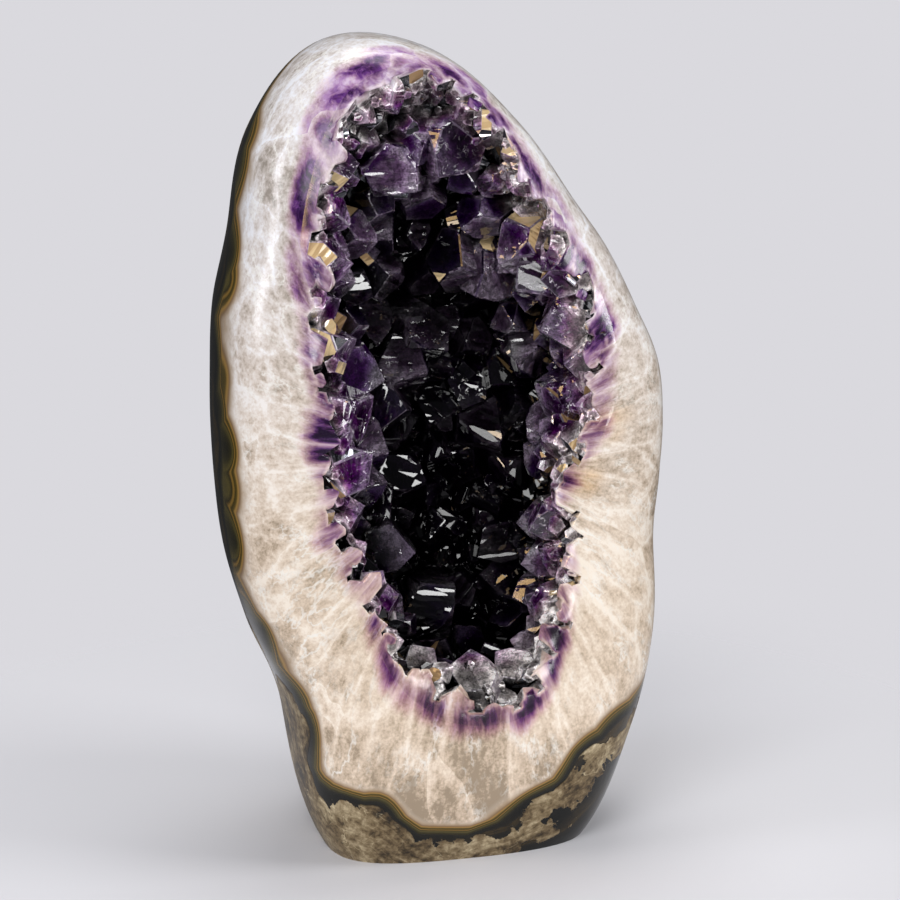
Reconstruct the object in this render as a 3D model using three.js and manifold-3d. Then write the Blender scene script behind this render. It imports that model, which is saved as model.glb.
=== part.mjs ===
// Polished standing amethyst egg: a geode ground to an egg shape, with one side open on its
// crystal-lined hollow and a flat ground foot. Millimetres, Z up, the opening faces -Y and the
// origin lies at the middle of the box around the egg, on the floor.
import * as THREE from 'three';
import { mergeVertices } from 'three/addons/utils/BufferGeometryUtils.js';
import Module from 'manifold-3d';

const wasm = await Module();
wasm.setup();

// The egg, seen from the front. Radii run every 15 degrees from +X upwards about AXIS_X, AXIS_Z.
const AXIS_X = -2;
const AXIS_Z = 134;
const EGG_RADII = [
  72, 73, 73, 77, 84, 99, 117, 124, 110.5, 89.5, 79, 72,
  70, 72, 78, 87, 102.3, 143, 150, 146, 119, 96.3, 78.8, 73,
];
const FACE_REACH = 42;
const BACK_REACH = 68;
const FACE_POWER = 2.8;
const BACK_POWER = 2.3;
const LEAN_BACK = 10;
const BACK_LUMP = 0.012;

// The hollow in the quartz, about the same axis, in the plane of the mouth.
const HOLLOW_RADII = [
  42, 50, 57, 64, 75, 92, 120, 118, 93, 72, 59, 53,
  51, 51, 54, 58, 65, 79, 87, 85, 69, 53, 43, 39,
];
const MOUTH_Y = -30;
const HOLLOW_DEPTH = 68;
const HOLLOW_POWER = 2.3;
const DEEP_SHIFT_X = 14;
const DEEP_SHIFT_Z = -36;
const FRONT_RUN = 40;

// The amethyst lining and its quartz points. Shares are of a point's size, its half width.
const FIT_GAP = 0.3;
const CRUST_THICKNESS = 6;
const POINT_SHAPES = 7;
const POINT_SIZE_MIN = 6.2;
const POINT_SIZE_MAX = 9.0;
const POINT_SPACING = 0.82;
const POINT_TRIES = 4200;
const POINT_TILT = 0.42;
const LARGE_POINT_TILT = 0.14;
const FIRST_SWEEP = -0.5;
const RISE_SHARE = [0.2, 0.62];
const RIM_SINK_SHARE = 0.7;
const RIM_SWEEP = 0.4;
const TIP_SHARE = [1.0, 1.25];
const TIP_OFFSET_SHARE = 0.22;
const SIDE_SHARE = [0.88, 1.08];
const SHOULDER_SHARE = 0.14;
const ROOT_SHARE = 2.2;
const WIDE_FACE_SHARE = [0.62, 0.7];
const BEARING_SCATTER = 0.08;

// Large points that the eye picks out: bearing and sweep into the hollow in degrees, size, and
// turn about the point's own axis in radians.
const LARGE_POINTS = [
  { bearing: 69, sweep: 19, size: 10.0, turn: 0.2 },
  { bearing: 179, sweep: 34, size: 10.5, turn: 0.9 },
  { bearing: 153, sweep: 32, size: 7.5, turn: 0.4 },
  { bearing: 115, sweep: 28, size: 8.5, turn: 0.7 },
  { bearing: 106, sweep: 68, size: 7.5, turn: 0.1 },
  { bearing: 142, sweep: 59, size: 7.5, turn: 0.5 },
  { bearing: 82, sweep: 62, size: 8.5, turn: 0.3 },
  { bearing: 52, sweep: 29, size: 6.5, turn: 0.8 },
  { bearing: 330, sweep: 21, size: 7.5, turn: 0.6 },
  { bearing: 259, sweep: 52, size: 7.5, turn: 0.2 },
  { bearing: 282, sweep: 37, size: 9.5, turn: 0.4 },
  { bearing: 294, sweep: 17, size: 7.5, turn: 0.9 },
  { bearing: 101, sweep: 35, size: 6.5, turn: 0.5 },
  { bearing: 110, sweep: 82, size: 7.5, turn: 0.7 },
];

// How finely the curved skins are faceted, and the stone that is ground away under the foot.
const EGG_AROUND = 44;
const EGG_ALONG = 22;
const HOLLOW_AROUND = 28;
const HOLLOW_ALONG = 7;
const LINING_AROUND = 16;
const LINING_ALONG = 5;
const WELD = 1e-4;
const GROUND_WIDTH = 400;
const GROUND_DEPTH = 200;

const HALF_TURN = Math.PI;
const FULL_TURN = Math.PI * 2;
const DEGREE = Math.PI / 180;

// One fixed sequence of scattered numbers, so that every build gives the same stone.
let seed = 20517;
function random() {
  seed = (seed * 16807) % 2147483647;
  return seed / 2147483647;
}

function between(low, high) {
  return low + (high - low) * random();
}

function scatter(reach) {
  return between(-reach, reach);
}

// Smooth closed curve through radii that are evenly spread over a full turn.
function radiusAt(radii, bearing) {
  const count = radii.length;
  const place = ((bearing / FULL_TURN) % 1 + 1) % 1 * count;
  const index = Math.floor(place) % count;
  const part = place - Math.floor(place);
  const before = radii[(index + count - 1) % count];
  const here = radii[index];
  const next = radii[(index + 1) % count];
  const after = radii[(index + 2) % count];
  const linear = next - before;
  const square = 2 * before - 5 * here + 4 * next - after;
  const cubic = 3 * here - before - 3 * next + after;
  return 0.5 * (2 * here + part * (linear + part * (square + part * cubic)));
}

function leanAt(z) {
  return LEAN_BACK * (z - AXIS_Z) / AXIS_Z;
}

// Point of the egg's skin; sweep 0 is the middle of the face, half a turn is the middle of the
// back, which is a little lumpy.
function eggPoint(bearing, sweep) {
  const front = Math.cos(sweep) > 0;
  const power = 2 / (front ? FACE_POWER : BACK_POWER);
  const reach = front ? -FACE_REACH : BACK_REACH;
  const depth = Math.abs(Math.cos(sweep)) ** power;
  const ripple = Math.sin(3 * bearing + 1) * Math.sin(2 * sweep);
  const ridge = Math.sin(5 * bearing) * Math.sin(sweep) ** 2 * depth;
  const swell = front ? 1 : 1 + BACK_LUMP * (ripple + ridge);
  const radius = radiusAt(EGG_RADII, bearing) * Math.sin(sweep) ** power * swell;
  const x = AXIS_X + radius * Math.cos(bearing);
  const z = AXIS_Z + radius * Math.sin(bearing);
  return new THREE.Vector3(x, reach * depth * swell + leanAt(z), z);
}

// Point of a wall of the hollow; inset moves it inwards, a sweep below 0 runs straight forward.
function hollowPoint(bearing, sweep, inset) {
  const bowl = Math.max(sweep, 0);
  const shrink = Math.cos(bowl) ** (2 / HOLLOW_POWER);
  const depth = Math.sin(bowl) ** (2 / HOLLOW_POWER);
  const radius = (radiusAt(HOLLOW_RADII, bearing) - inset) * shrink;
  const x = AXIS_X + DEEP_SHIFT_X * depth + radius * Math.cos(bearing);
  const z = AXIS_Z + DEEP_SHIFT_Z * depth + radius * Math.sin(bearing);
  const y = MOUTH_Y + (HOLLOW_DEPTH - inset) * depth + Math.min(sweep, 0) * FRONT_RUN;
  return new THREE.Vector3(x, y + leanAt(z), z);
}

// Direction out of the wall, into the hollow.
function hollowNormal(bearing, sweep, inset) {
  const step = 0.02;
  const around = hollowPoint(bearing + step, sweep, inset).sub(hollowPoint(bearing - step, sweep, inset));
  const along = hollowPoint(bearing, sweep + step, inset).sub(hollowPoint(bearing, sweep - step, inset));
  return around.cross(along).normalize();
}

// Closed skin from a grid of rings between two poles.
function ringSkin(aroundCount, sweeps, firstPole, lastPole, pointAt) {
  const places = [firstPole.x, firstPole.y, firstPole.z];
  for (const sweep of sweeps) {
    for (let step = 0; step < aroundCount; step += 1) {
      const point = pointAt(step / aroundCount * FULL_TURN, sweep);
      places.push(point.x, point.y, point.z);
    }
  }
  places.push(lastPole.x, lastPole.y, lastPole.z);
  const lastIndex = places.length / 3 - 1;
  const lastRing = lastIndex - aroundCount;
  const faces = [];
  for (let step = 0; step < aroundCount; step += 1) {
    const next = (step + 1) % aroundCount;
    faces.push(0, 1 + step, 1 + next);
    faces.push(lastIndex, lastRing + next, lastRing + step);
    for (let ring = 0; ring < sweeps.length - 1; ring += 1) {
      const here = 1 + ring * aroundCount;
      const beyond = here + aroundCount;
      faces.push(here + step, beyond + next, here + next);
      faces.push(here + step, beyond + step, beyond + next);
    }
  }
  const geometry = new THREE.BufferGeometry();
  geometry.setAttribute('position', new THREE.Float32BufferAttribute(places, 3));
  geometry.setIndex(faces);
  return geometry;
}

function spread(low, high, count) {
  return Array.from({ length: count }, (_, step) => low + (high - low) * step / (count - 1));
}

function toSolid(geometry) {
  const bare = new THREE.BufferGeometry();
  bare.setAttribute('position', geometry.getAttribute('position').clone());
  if (geometry.index) {
    bare.setIndex(geometry.index.clone());
  }
  const merged = mergeVertices(bare, WELD);
  return new wasm.Manifold(new wasm.Mesh({
    numProp: 3,
    vertProperties: Float32Array.from(merged.getAttribute('position').array),
    triVerts: Uint32Array.from(merged.index.array),
  }));
}

function eggSkin() {
  const step = HALF_TURN / EGG_ALONG;
  const sweeps = spread(step, HALF_TURN - step, EGG_ALONG - 1);
  return ringSkin(EGG_AROUND, sweeps, eggPoint(0, 0), eggPoint(0, HALF_TURN), eggPoint);
}

// The hollow as a plug that starts in front of the face and ends at the deepest place.
function hollowSkin(inset, around, along) {
  const step = HALF_TURN / 2 / along;
  const sweeps = [-1, ...spread(0, HALF_TURN / 2 - step, along)];
  const mouth = new THREE.Vector3(AXIS_X, hollowPoint(0, -1, inset).y, AXIS_Z);
  const deepest = hollowPoint(0, HALF_TURN / 2, inset);
  return ringSkin(around, sweeps, mouth, deepest, (bearing, sweep) => (
    hollowPoint(bearing, sweep, inset)
  ));
}

// Quartz point along +Z, of size 1: three wide and three narrow end faces meet at the tip, and
// six sides run down to a root that stays buried in the lining.
function quartzPoint() {
  const tip = [scatter(TIP_OFFSET_SHARE), scatter(TIP_OFFSET_SHARE), between(...TIP_SHARE)];
  const places = [...tip, 0, 0, -ROOT_SHARE];
  const third = FULL_TURN / 3;
  const wide = between(...WIDE_FACE_SHARE) * third;
  for (let side = 0; side < 6; side += 1) {
    const bearing = Math.floor(side / 2) * third + (side % 2) * wide + scatter(BEARING_SCATTER);
    const radius = between(...SIDE_SHARE);
    places.push(radius * Math.cos(bearing), radius * Math.sin(bearing), scatter(SHOULDER_SHARE));
  }
  const faces = [];
  for (let side = 0; side < 6; side += 1) {
    const here = 2 + side;
    const next = 2 + (side + 1) % 6;
    faces.push(0, here, next);
    faces.push(1, next, here);
  }
  const geometry = new THREE.BufferGeometry();
  geometry.setAttribute('position', new THREE.Float32BufferAttribute(places, 3));
  geometry.setIndex(faces);
  return geometry;
}

function placedPoint(shape, place, direction, size, turn) {
  const upright = new THREE.Quaternion().setFromUnitVectors(new THREE.Vector3(0, 0, 1), direction);
  const spin = new THREE.Quaternion().setFromAxisAngle(new THREE.Vector3(0, 0, 1), turn);
  const matrix = new THREE.Matrix4().compose(
    place, upright.multiply(spin), new THREE.Vector3(size, size, size),
  );
  return shape.clone().applyMatrix4(matrix);
}

// The lining's crystals, largest first, then as many small ones as find room between them. Near
// the mouth they sit deeper in the lining, so that the ground face cuts only their sides.
function crystalPoints() {
  const shapes = Array.from({ length: POINT_SHAPES }, quartzPoint);
  const placed = [];
  const geometries = [];
  const setPoint = (bearing, sweep, size, turn, tilt) => {
    const root = hollowPoint(bearing, sweep, CRUST_THICKNESS);
    const room = placed.every((other) => (
      other.root.distanceTo(root) > POINT_SPACING * (other.size + size)
    ));
    if (!room) {
      return;
    }
    placed.push({ root, size });
    const direction = hollowNormal(bearing, sweep, CRUST_THICKNESS);
    direction.add(new THREE.Vector3(scatter(tilt), scatter(tilt), scatter(tilt))).normalize();
    const sink = RIM_SINK_SHARE * Math.max(0, 1 - Math.max(sweep, 0) / RIM_SWEEP);
    const start = root.clone().addScaledVector(direction, (between(...RISE_SHARE) - sink) * size);
    const shape = shapes[Math.floor(random() * POINT_SHAPES)];
    geometries.push(placedPoint(shape, start, direction, size, turn));
  };
  for (const { bearing, sweep, size, turn } of LARGE_POINTS) {
    setPoint(bearing * DEGREE, sweep * DEGREE, size, turn, LARGE_POINT_TILT);
  }
  for (let tried = 0; tried < POINT_TRIES; tried += 1) {
    const shrink = (POINT_SIZE_MAX - POINT_SIZE_MIN) * tried / POINT_TRIES;
    const size = between(POINT_SIZE_MIN, POINT_SIZE_MAX - shrink);
    const bearing = between(0, FULL_TURN);
    const sweep = between(FIRST_SWEEP, HALF_TURN / 2);
    setPoint(bearing, sweep, size, between(0, FULL_TURN / 3), POINT_TILT);
  }
  return geometries;
}

function groundFoot(solid) {
  const ground = new THREE.BoxGeometry(GROUND_WIDTH, GROUND_WIDTH, GROUND_DEPTH);
  ground.translate(0, 0, -GROUND_DEPTH / 2);
  return solid.subtract(toSolid(ground));
}

// The largest closed shell of a solid; loose chips and bubbles left by the cuts are dropped.
function mainShell(solid) {
  const shells = solid.decompose().sort((first, second) => second.volume() - first.volume());
  const mesh = shells[0].getMesh();
  const geometry = new THREE.BufferGeometry();
  geometry.setAttribute('position', new THREE.BufferAttribute(mesh.vertProperties, 3));
  geometry.setIndex(new THREE.BufferAttribute(mesh.triVerts, 1));
  return geometry;
}

function namedMesh(name, geometry, slot, color, roughness) {
  const material = new THREE.MeshStandardMaterial({ name: slot, color, roughness, metalness: 0 });
  const mesh = new THREE.Mesh(geometry, material);
  mesh.name = name;
  return mesh;
}

const egg = groundFoot(toSolid(eggSkin()));
const hollow = toSolid(hollowSkin(0, HOLLOW_AROUND, HOLLOW_ALONG));
const body = mainShell(egg.subtract(hollow));

const cover = toSolid(hollowSkin(FIT_GAP, HOLLOW_AROUND, HOLLOW_ALONG));
const room = toSolid(hollowSkin(CRUST_THICKNESS, LINING_AROUND, LINING_ALONG));
let lining = cover.subtract(room);
for (const point of crystalPoints()) {
  lining = lining.add(toSolid(point));
}
const crust = mainShell(lining.intersect(cover).intersect(egg));

// The box around the egg is centred on the origin and stands on the floor.
body.computeBoundingBox();
const box = body.boundingBox;
const middle = box.getCenter(new THREE.Vector3());
for (const geometry of [body, crust]) {
  geometry.translate(-middle.x, -middle.y, -box.min.z);
}

const part = new THREE.Group();
part.name = 'amethyst_egg';
part.add(namedMesh('geode_body', body, 'banded_quartz', 0xe3dad2, 0.15));
part.add(namedMesh('crystal_crust', crust, 'amethyst', 0x4b2a72, 0.08));

export default part;
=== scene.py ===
# Polished standing amethyst egg: milky quartz with an agate rind and basalt outside it, open on
# one side on a hollow that is lined with violet quartz points.
import math
from functools import partial
from itertools import combinations

import bmesh
import bpy
import numpy as np
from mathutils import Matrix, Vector, noise
from mathutils.bvhtree import BVHTree


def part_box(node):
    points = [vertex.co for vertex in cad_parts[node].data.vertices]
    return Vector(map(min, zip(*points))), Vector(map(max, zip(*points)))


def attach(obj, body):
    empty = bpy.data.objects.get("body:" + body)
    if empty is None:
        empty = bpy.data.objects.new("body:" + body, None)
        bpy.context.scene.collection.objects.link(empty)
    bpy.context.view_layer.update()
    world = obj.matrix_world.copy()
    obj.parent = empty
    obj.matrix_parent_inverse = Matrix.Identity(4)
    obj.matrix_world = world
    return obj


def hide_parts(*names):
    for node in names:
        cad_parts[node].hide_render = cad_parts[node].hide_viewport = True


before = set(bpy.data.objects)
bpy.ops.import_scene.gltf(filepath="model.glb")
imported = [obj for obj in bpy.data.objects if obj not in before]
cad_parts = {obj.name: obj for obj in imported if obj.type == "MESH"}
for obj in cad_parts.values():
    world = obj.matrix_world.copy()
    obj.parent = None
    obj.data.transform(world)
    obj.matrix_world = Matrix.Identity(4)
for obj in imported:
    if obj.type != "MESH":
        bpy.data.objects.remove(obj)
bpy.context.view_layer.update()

MM = 0.001
FULL_TURN = 2 * math.pi
HALF_TURN = math.pi
DEGREE = math.pi / 180

# The egg as the construction model has it, in millimetres about the egg's own axis.
AXIS_X = -2
AXIS_Z = 134
EGG_RADII = [
    72, 73, 73, 77, 84, 99, 117, 124, 110.5, 89.5, 79, 72,
    70, 72, 78, 87, 102.3, 143, 150, 146, 119, 96.3, 78.8, 73,
]
FACE_REACH = 42
BACK_REACH = 68
FACE_POWER = 2.8
BACK_POWER = 2.3
LEAN_BACK = 10
BACK_LUMP = 0.012

HOLLOW_RADII = [
    42, 50, 57, 64, 75, 92, 120, 118, 93, 72, 59, 53,
    51, 51, 54, 58, 65, 79, 87, 85, 69, 53, 43, 39,
]
MOUTH_Y = -30
HOLLOW_DEPTH = 68
HOLLOW_POWER = 2.3
DEEP_SHIFT_X = 14
DEEP_SHIFT_Z = -36
FRONT_RUN = 40

# The limit between quartz and agate, seen from the front, and how it closes towards the back.
RIND_RADII = [
    76, 76.5, 77, 77.5, 78, 80, 82, 87, 92, 101, 112, 128,
    146, 152, 152, 141, 122.5, 109, 96.5, 88.5, 84, 80, 76.5, 73,
    71.5, 72.5, 73.5, 76.5, 80.5, 85, 86.5, 91, 97, 115.5, 113.5, 122,
    121.5, 116, 110, 103.5, 103.5, 105, 101, 92, 84, 80, 77, 76,
]
RIND_MIDDLE_Y = -50
RIND_REACH = 108
RIND_POWER = 2.4

# How far out into the quartz the violet reaches, in millimetres by bearing from the right.
VIOLET_REACH = [2, 0, -1, 0, 2, 2, 5, 9, 10, 6, 1, -1, -1, 0, 1, 1, 2, 6, 8, 3, -3, -8, -8, 0]

# Girth at which the quartz's rays are read, and how fast they widen outwards
GRAIN_GIRTH = 60
GRAIN_RUN = 0.15

# How finely the skins are drawn
EGG_AROUND = 280
EGG_ALONG = 170
HOLLOW_AROUND = 160
HOLLOW_ALONG = 44
LAST_SWEEP = HALF_TURN / 2 - HALF_TURN / 2 / HOLLOW_ALONG

# Stone that is ground away below the foot: width, depth and height in metres
GROUND_AWAY = (0.4, 0.4, 0.2)

# The lining, in millimetres, and how the polished face rolls back into the mouth
LINING_THICKNESS = 4
LINING_OVERLAP = 1.0
WALL_START = -0.22
FACE_CLEARANCE = 0.03
LIP_REACH = 16
LIP_DROP = 1.2
LOW_LIP_DROP = 3
ROLL_REACH = 122
LIP_WAVE = 1.2
LIP_WAVE_LENGTH = 11
RIM_LUMP = 3.6
RIM_LUMP_LENGTH = 9

# Shapes of the points as shares of their half width, the end faces wide and narrow by turns
POINT_SHAPES = 12
SHARP_EDGE = 0.035
WORN_EDGE = 0.11
END_SLOPE = 51.8 * DEGREE
ROOT_LENGTH = 1.9
SIDE_REACH = (0.8, 1.0)
END_REACH = ((0.62, 0.8), (0.86, 1.05))

# Where each set of points grows on the wall: its sweeps, and ranges of bearings in degrees. Lip,
# edge and crown points stand at the mouth, rim points behind them, and deep points line the rest.
POINT_PLACES = {
    "rim": ((0.06, 0.36), [(116, 434)]),
    "lip": ((-0.22, 0.1), [(-25, 74), (116, 150), (250, 300)]),
    "edge": ((-0.22, 0.1), [(150, 250), (300, 335)]),
    "crown": ((-0.22, 0.36), [(74, 116)]),
    "deep": ((0.36, 2.0), [(0, 360)]),
}
GROWING_ORDER = ("lip", "edge", "crown", "rim", "deep")

# How each set grows: spacing and sizes in millimetres, the rise as a share of the size, and the
# room that the marks keep free as a share of theirs. Small points fill the gaps up to a height.
POINT_INPUTS = ("Spacing", "Smallest", "Largest", "Lowest", "Highest", "Tilt", "Room", "Seed")
LENGTHS = POINT_INPUTS[:3]
POINT_VALUES = {
    "rim": (14.0, 7.5, 12.5, 0.1, 0.7, 0.35, 1.0, 7),
    "lip": (9.5, 4.5, 8.0, -0.4, 0.35, 0.4, 0.9, 12),
    "edge": (9.0, 3.6, 7.4, -0.6, 0.45, 0.5, 0.7, 14),
    "crown": (9.0, 3.6, 7.4, -0.6, 0.45, 0.5, 0.7, 14),
    "deep": (13.5, 6.0, 12.0, 0.2, 1.0, 0.45, 1.0, 8),
    "small": (7.0, 1.6, 4.2, -0.3, 0.4, 0.7, -1.0, 9),
}
GAP_HEIGHT = 10

# Large points: bearing and sweep into the hollow in degrees, half width, turn in radians.
LARGE_POINTS = [
    (69, 19, 10.0, 0.2), (179, 34, 10.5, 0.9), (153, 32, 7.5, 0.4), (115, 28, 8.5, 0.7),
    (106, 68, 7.5, 0.1), (142, 59, 7.5, 0.5), (82, 62, 8.5, 0.3), (52, 29, 6.5, 0.8),
    (330, 21, 7.5, 0.6), (259, 52, 7.5, 0.2), (282, 37, 9.5, 0.4), (294, 17, 7.5, 0.9),
    (101, 35, 6.5, 0.5), (110, 82, 7.5, 0.7), (272, 5, 11.5, 0.3), (286, 6, 9.5, 0.6),
    (254, 9, 8.5, 0.1),
]
LARGE_POINT_RISE = 0.5

# Grown faces painted with a tan reflection or with silvery glints: their areas in square
# millimetres, how deep the tan reflections go and the shares of both. Slim faces are small for their
# girth.
MARKED_FACE = 6
TAN_REFLECTION_LIMIT = 48
GLINT_PAINT_LIMIT = 22
TAN_REFLECTION_DEPTH = 40
TAN_REFLECTED = 0.085
GLINT_PAINTED = 0.15
SLIM = 0.02
FLAT_ANGLE = 0.4 * DEGREE
SEED = 7

# How far, in millimetres, and by how many rays each place looks round for points that hide it
# The amethyst paints shade on places that these rays find closed in
OPEN_REACH = 26
OPEN_RAYS = 10

# Roughness of the polished cut, and refraction of quartz
POLISH = 0.17
QUARTZ_IOR = 1.544

# Options of nodes that come often
SMOOTH = {"interpolation_type": "SMOOTHSTEP"}
COLOUR = {"data_type": "RGBA"}
TINT = {"data_type": "RGBA", "blend_type": "MULTIPLY"}

# Camera: degrees about the egg, and millimetres in the row frame
CAMERA_AZIMUTH = -16
CAMERA_HEIGHT_ANGLE = 15
CAMERA_DISTANCE = 1100
CAMERA_TARGET = (3.6, -12.06, 124)
SENSOR_WIDTH = 36
MM_PER_PIXEL = 0.317
FRAME_PIXELS = 900

# Small lights that only the points' faces mirror: azimuth and height angle in degrees
GLINTS = (
    (-25, 8), (12, -12), (30, 20), (-8, 48), (52, -6), (-48, -8), (-70, 38), (22, 62), (75, 12),
    (0, 26),
)


def ring_at(radii, bearing):
    """Smooth closed curve through radii that are evenly spread over a full turn."""
    values = np.asarray(radii, float)
    count = len(values)
    place = (np.asarray(bearing, float) / FULL_TURN) % 1 * count
    index = np.floor(place).astype(int)
    part = place - index
    before, here, after, last = (values[(index + step) % count] for step in (-1, 0, 1, 2))
    linear = after - before
    square = 2 * before - 5 * here + 4 * after - last
    cubic = 3 * here - before - 3 * after + last
    return 0.5 * (2 * here + part * (linear + part * (square + part * cubic)))


def lean_at(z):
    return LEAN_BACK * (z - AXIS_Z) / AXIS_Z


def depth_at(points):
    """How far back points lie from the plane of the mouth."""
    return points[:, 1] - lean_at(points[:, 2]) - MOUTH_Y


def around_axis(points):
    """Bearing of points about the egg's axis and their distance from it, seen from the front."""
    across, up = points[:, 0] - AXIS_X, points[:, 2] - AXIS_Z
    return np.arctan2(up, across), np.hypot(across, up)


def egg_point(bearing, sweep):
    """Points of the egg's skin: sweep 0 is the middle of the face, half a turn the back."""
    bearing, sweep = np.broadcast_arrays(bearing, sweep)
    front = np.cos(sweep) > 0
    power = 2 / np.where(front, FACE_POWER, BACK_POWER)
    reach = np.where(front, -FACE_REACH, BACK_REACH)
    depth = np.abs(np.cos(sweep)) ** power
    ripple = np.sin(3 * bearing + 1) * np.sin(2 * sweep)
    ridge = np.sin(5 * bearing) * np.sin(sweep) ** 2 * depth
    swell = np.where(front, 1, 1 + BACK_LUMP * (ripple + ridge))
    radius = ring_at(EGG_RADII, bearing) * np.abs(np.sin(sweep)) ** power * swell
    x = AXIS_X + radius * np.cos(bearing)
    z = AXIS_Z + radius * np.sin(bearing)
    return np.stack([x, reach * depth * swell + lean_at(z), z], -1)


def hollow_point(bearing, sweep, inset):
    """Points of a wall of the hollow; a sweep below 0 runs straight forward."""
    bearing, sweep = np.broadcast_arrays(bearing, sweep)
    bowl = np.clip(sweep, 0, HALF_TURN / 2)
    shrink = np.cos(bowl) ** (2 / HOLLOW_POWER)
    depth = np.sin(bowl) ** (2 / HOLLOW_POWER)
    radius = (ring_at(HOLLOW_RADII, bearing) - inset) * shrink
    x = AXIS_X + DEEP_SHIFT_X * depth + radius * np.cos(bearing)
    z = AXIS_Z + DEEP_SHIFT_Z * depth + radius * np.sin(bearing)
    y = MOUTH_Y + (HOLLOW_DEPTH - inset) * depth + np.minimum(sweep, 0) * FRONT_RUN
    return np.stack([x, y + lean_at(z), z], -1)


def hollow_normal(bearing, sweep, inset):
    """Direction out of the wall, into the hollow."""
    step = 0.02
    around = hollow_point(bearing + step, sweep, inset) - hollow_point(bearing - step, sweep, inset)
    along = hollow_point(bearing, sweep + step, inset) - hollow_point(bearing, sweep - step, inset)
    normal = np.cross(around, along)
    return normal / np.linalg.norm(normal, axis=-1, keepdims=True)


def inside_hollow(points):
    """How far points lie inside the hollow's wall, in millimetres; below 0 in the quartz."""
    x, y, z = points[:, 0], points[:, 1] - lean_at(points[:, 2]), points[:, 2]
    depth = np.clip((y - MOUTH_Y) / HOLLOW_DEPTH, 0, 0.999)
    across = x - AXIS_X - DEEP_SHIFT_X * depth
    up = z - AXIS_Z - DEEP_SHIFT_Z * depth
    wall = ring_at(HOLLOW_RADII, np.arctan2(up, across))
    reach = wall * (1 - depth ** HOLLOW_POWER) ** (1 / HOLLOW_POWER)
    return np.minimum(reach - np.hypot(across, up), HOLLOW_DEPTH + MOUTH_Y - y)


def inside_rind(points):
    """How far points lie inside the limit of quartz and agate, in millimetres."""
    bearing, radius = around_axis(points)
    back = np.clip(np.abs(points[:, 1] - RIND_MIDDLE_Y) / RIND_REACH, 0, 1.2)
    profile = np.sign(1 - back) * np.abs(1 - back ** RIND_POWER) ** (1 / RIND_POWER)
    return ring_at(RIND_RADII, bearing) * profile - radius


def violet_depth(points):
    """How far points lie inside the limit of white and violet quartz, in millimetres."""
    return inside_hollow(points) + ring_at(VIOLET_REACH, around_axis(points)[0])


def grain_at(points):
    """Places in metres in which patterns stretch along the rays that run out from the hollow."""
    radius = np.maximum(around_axis(points)[1], 1)
    girth = (GRAIN_GIRTH + GRAIN_RUN * radius) / radius
    across, up = points[:, 0] - AXIS_X, points[:, 2] - AXIS_Z
    return np.stack([across * girth, points[:, 1], up * girth], -1) * MM


def lip_drop(points):
    """How far the polished face rolls back into the mouth, in millimetres."""
    share = np.clip(inside_hollow(points) / LIP_REACH, 0, 2)
    low = np.clip((AXIS_Z - points[:, 2]) / ROLL_REACH, 0, 1) ** 2
    return FACE_CLEARANCE + (LIP_DROP + LOW_LIP_DROP * low) * share ** 2


def on_face(points):
    """Which points lie on the polished face."""
    bearing, radius = around_axis(points)
    share = radius / ring_at(EGG_RADII, bearing)
    depth = (1 - np.clip(share, 0, 1) ** FACE_POWER) ** (1 / FACE_POWER)
    face = -FACE_REACH * depth + lean_at(points[:, 2])
    skin = np.stack([points[:, 0], face, points[:, 2]], -1)
    return np.abs(points[:, 1] - face - lip_drop(skin)) < LIP_WAVE + 0.1


# Meshes and objects
def new_thing(name, data):
    thing = bpy.data.objects.new(name, data)
    bpy.context.scene.collection.objects.link(thing)
    return thing


def mesh_of(bm, name):
    """A new mesh of a bmesh, which is used up."""
    mesh = bpy.data.meshes.new(name)
    bm.to_mesh(mesh)
    bm.free()
    return mesh


def read_all(items, field, width):
    """A row of values for each vertex or face."""
    values = np.zeros(len(items) * width)
    items.foreach_get(field, values)
    return values.reshape(-1, width)


def vertex_places(mesh):
    """Places of the vertices in millimetres."""
    return read_all(mesh.vertices, "co", 3) / MM


def set_places(mesh, places):
    mesh.vertices.foreach_set("co", (places * MM).ravel())
    mesh.update()


def face_middles(mesh):
    return read_all(mesh.polygons, "center", 3) / MM


def store(mesh, **attributes):
    """Stores a value for each vertex or face under the names that materials and trees read."""
    for name, values in attributes.items():
        values = np.asarray(values, np.float32)
        kind, field = ("FLOAT", "value") if values.ndim == 1 else ("FLOAT_VECTOR", "vector")
        domain = "POINT" if len(values) == len(mesh.vertices) else "FACE"
        mesh.attributes.new(name, kind, domain).data.foreach_set(field, values.ravel())


def take_away(thing):
    mesh = thing.data
    bpy.data.objects.remove(thing)
    if mesh and not mesh.users:
        bpy.data.meshes.remove(mesh)


def baked(thing, name):
    """A plain mesh object of what a thing's modifiers make; the thing itself goes."""
    graph = bpy.context.evaluated_depsgraph_get()
    mesh = bpy.data.meshes.new_from_object(thing.evaluated_get(graph))
    take_away(thing)
    mesh.name = name
    return new_thing(name, mesh)


def cut(thing, operation, tools, name):
    """What a thing and its tools make by booleans. All of them are used up."""
    for tool in tools:
        change = thing.modifiers.new("cut", "BOOLEAN")
        change.operation = operation
        change.solver = "MANIFOLD"
        change.object = tool
    made = baked(thing, name)
    for tool in tools:
        take_away(tool)
    return made


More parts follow.
